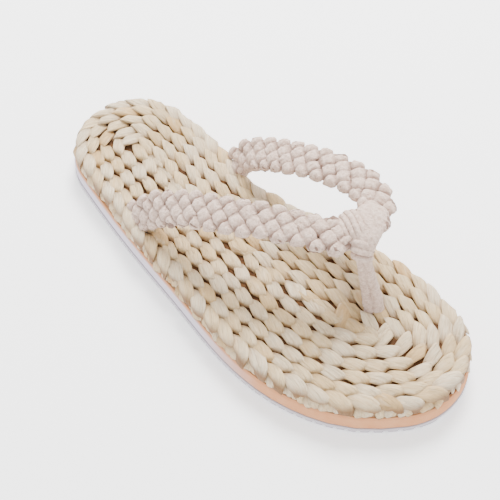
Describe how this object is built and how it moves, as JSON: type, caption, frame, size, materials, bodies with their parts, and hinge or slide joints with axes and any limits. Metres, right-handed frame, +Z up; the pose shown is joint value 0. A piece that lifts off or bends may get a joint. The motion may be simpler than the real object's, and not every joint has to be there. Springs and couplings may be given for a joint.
{
  "type": "thong slipper",
  "caption": "flat thong slipper with a coiled plaited husk footbed, braided cotton V straps joined over a toe post, a foam midsole and a ribbed outsole",
  "frame": {"origin": "on the floor, under the middle of the slipper's bounding box", "axes": "+X towards the toe, -Y the outer side of the foot, +Y the big-toe side, +Z up"},
  "size_m": [0.256, 0.105, 0.0642],
  "materials": {
    "outsole": "matt, pale grey, ribbed",
    "midsole": "closed-cell foam, cut edge, peach",
    "footbed": "plaited dry husk, satin, cream to tan",
    "upper": "soft braided cotton cord, fuzzy, off-white",
    "toe_post": "soft cotton cord, fuzzy, off-white"
  },
  "bodies": {
    "root": {"outsole": "outsole", "midsole": "midsole", "footbed": "footbed", "upper": "upper", "toe_post": "toe_post"}
  },
  "joints": []
}
